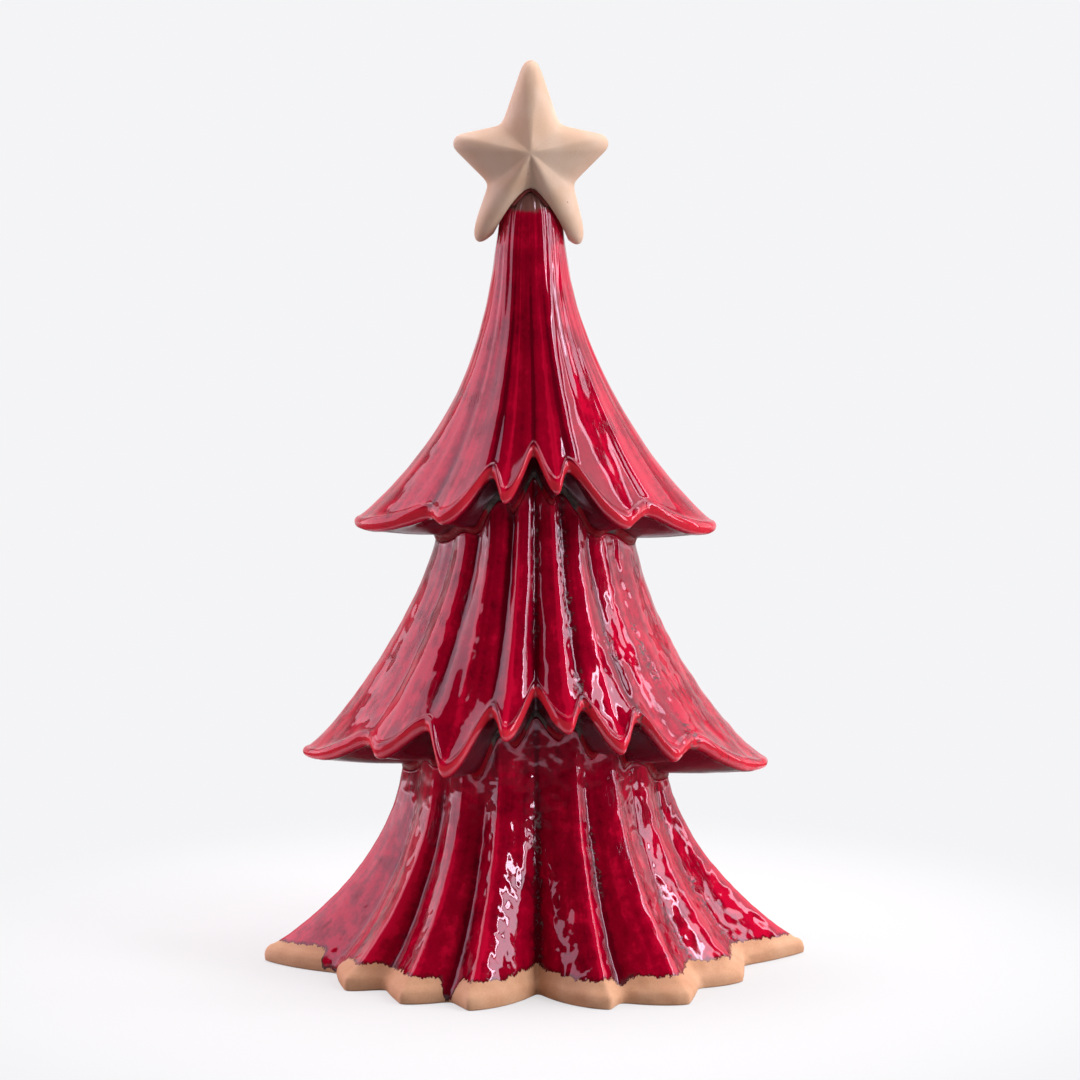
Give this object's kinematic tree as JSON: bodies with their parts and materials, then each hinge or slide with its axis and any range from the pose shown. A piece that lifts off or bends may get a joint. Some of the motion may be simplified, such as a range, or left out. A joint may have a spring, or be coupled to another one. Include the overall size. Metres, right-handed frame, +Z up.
{
  "type": "tabletop christmas tree",
  "caption": "Hollow ceramic tree of stacked flared skirts with folded petal hems, standing on a scalloped bare clay foot and topped by a bare clay star.",
  "frame": {"origin": "on the surface that the tree stands on, under the middle of its foot", "axes": "+Z up along the tree's axis, +X to the right seen from the front, the front faces -Y"},
  "size_m": [0.24, 0.172, 0.4],
  "materials": {
    "red_glaze": "polished",
    "grey_slip": "satin",
    "brown_slip": "satin",
    "bare_clay": "matte"
  },
  "bodies": {
    "root": {"lower_skirt": "red_glaze", "lower_slip_joint": "grey_slip", "middle_skirt": "red_glaze", "upper_slip_joint": "grey_slip", "upper_skirt": "red_glaze", "star_slip": "brown_slip", "star": "bare_clay"}
  },
  "joints": []
}
